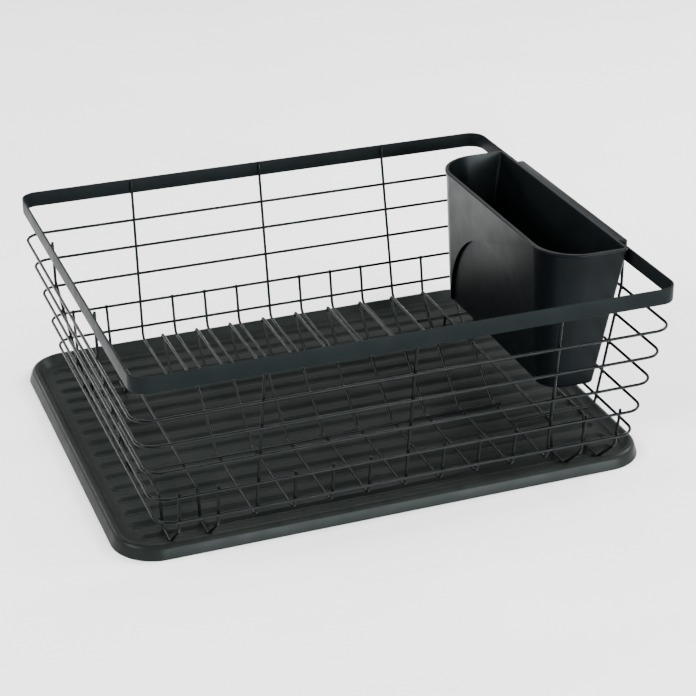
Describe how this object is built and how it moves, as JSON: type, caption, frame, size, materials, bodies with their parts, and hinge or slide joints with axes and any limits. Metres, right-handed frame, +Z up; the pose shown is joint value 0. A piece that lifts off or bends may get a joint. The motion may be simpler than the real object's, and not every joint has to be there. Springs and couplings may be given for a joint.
{
  "type": "dish drying rack",
  "caption": "Wire dish drying basket with a flat rim band and slanted plate dividers, a utensil holder hooked over one side and a grooved drip tray underneath.",
  "frame": {"origin": "on the surface the tray stands on, under the middle of the whole rack's bounding box", "axes": "+X along the long side, towards the end with the utensil holder; -Y the front; +Z up"},
  "size_m": [0.445, 0.395, 0.176],
  "materials": {
    "wire_coat": "satin black coating over steel wire",
    "band_coat": "satin black coating over flat steel",
    "tray_plastic": "fine satin black",
    "holder_plastic": "fine satin black"
  },
  "bodies": {
    "tray": {"drip_tray": "tray_plastic"},
    "basket": {"rim_band": "band_coat", "ring_wire_1": "wire_coat", "ring_wire_2": "wire_coat", "ring_wire_3": "wire_coat", "ring_wire_4": "wire_coat", "ring_wire_5": "wire_coat", "plate_wire_1": "wire_coat", "plate_wire_2": "wire_coat", "plate_wire_3": "wire_coat", "plate_wire_4": "wire_coat", "plate_wire_5": "wire_coat", "plate_wire_6": "wire_coat", "plate_wire_7": "wire_coat", "plate_wire_8": "wire_coat", "plate_wire_9": "wire_coat", "foot_wire_left_1": "wire_coat", "foot_wire_left_2": "wire_coat", "foot_wire_right_1": "wire_coat", "foot_wire_right_2": "wire_coat", "side_wire_left_front": "wire_coat", "side_wire_left_back": "wire_coat", "side_wire_right_front": "wire_coat", "side_wire_right_back": "wire_coat"},
    "holder": {"utensil_holder": "holder_plastic"}
  },
  "joints": [
    {"name": "basket_lift", "type": "slide", "parent": "tray", "child": "basket", "axis": [0, 0, 1], "range_m": [0, 0.12]},
    {"name": "holder_lift", "type": "slide", "parent": "basket", "child": "holder", "axis": [0, 0, 1], "range_m": [0, 0.13]}
  ]
}
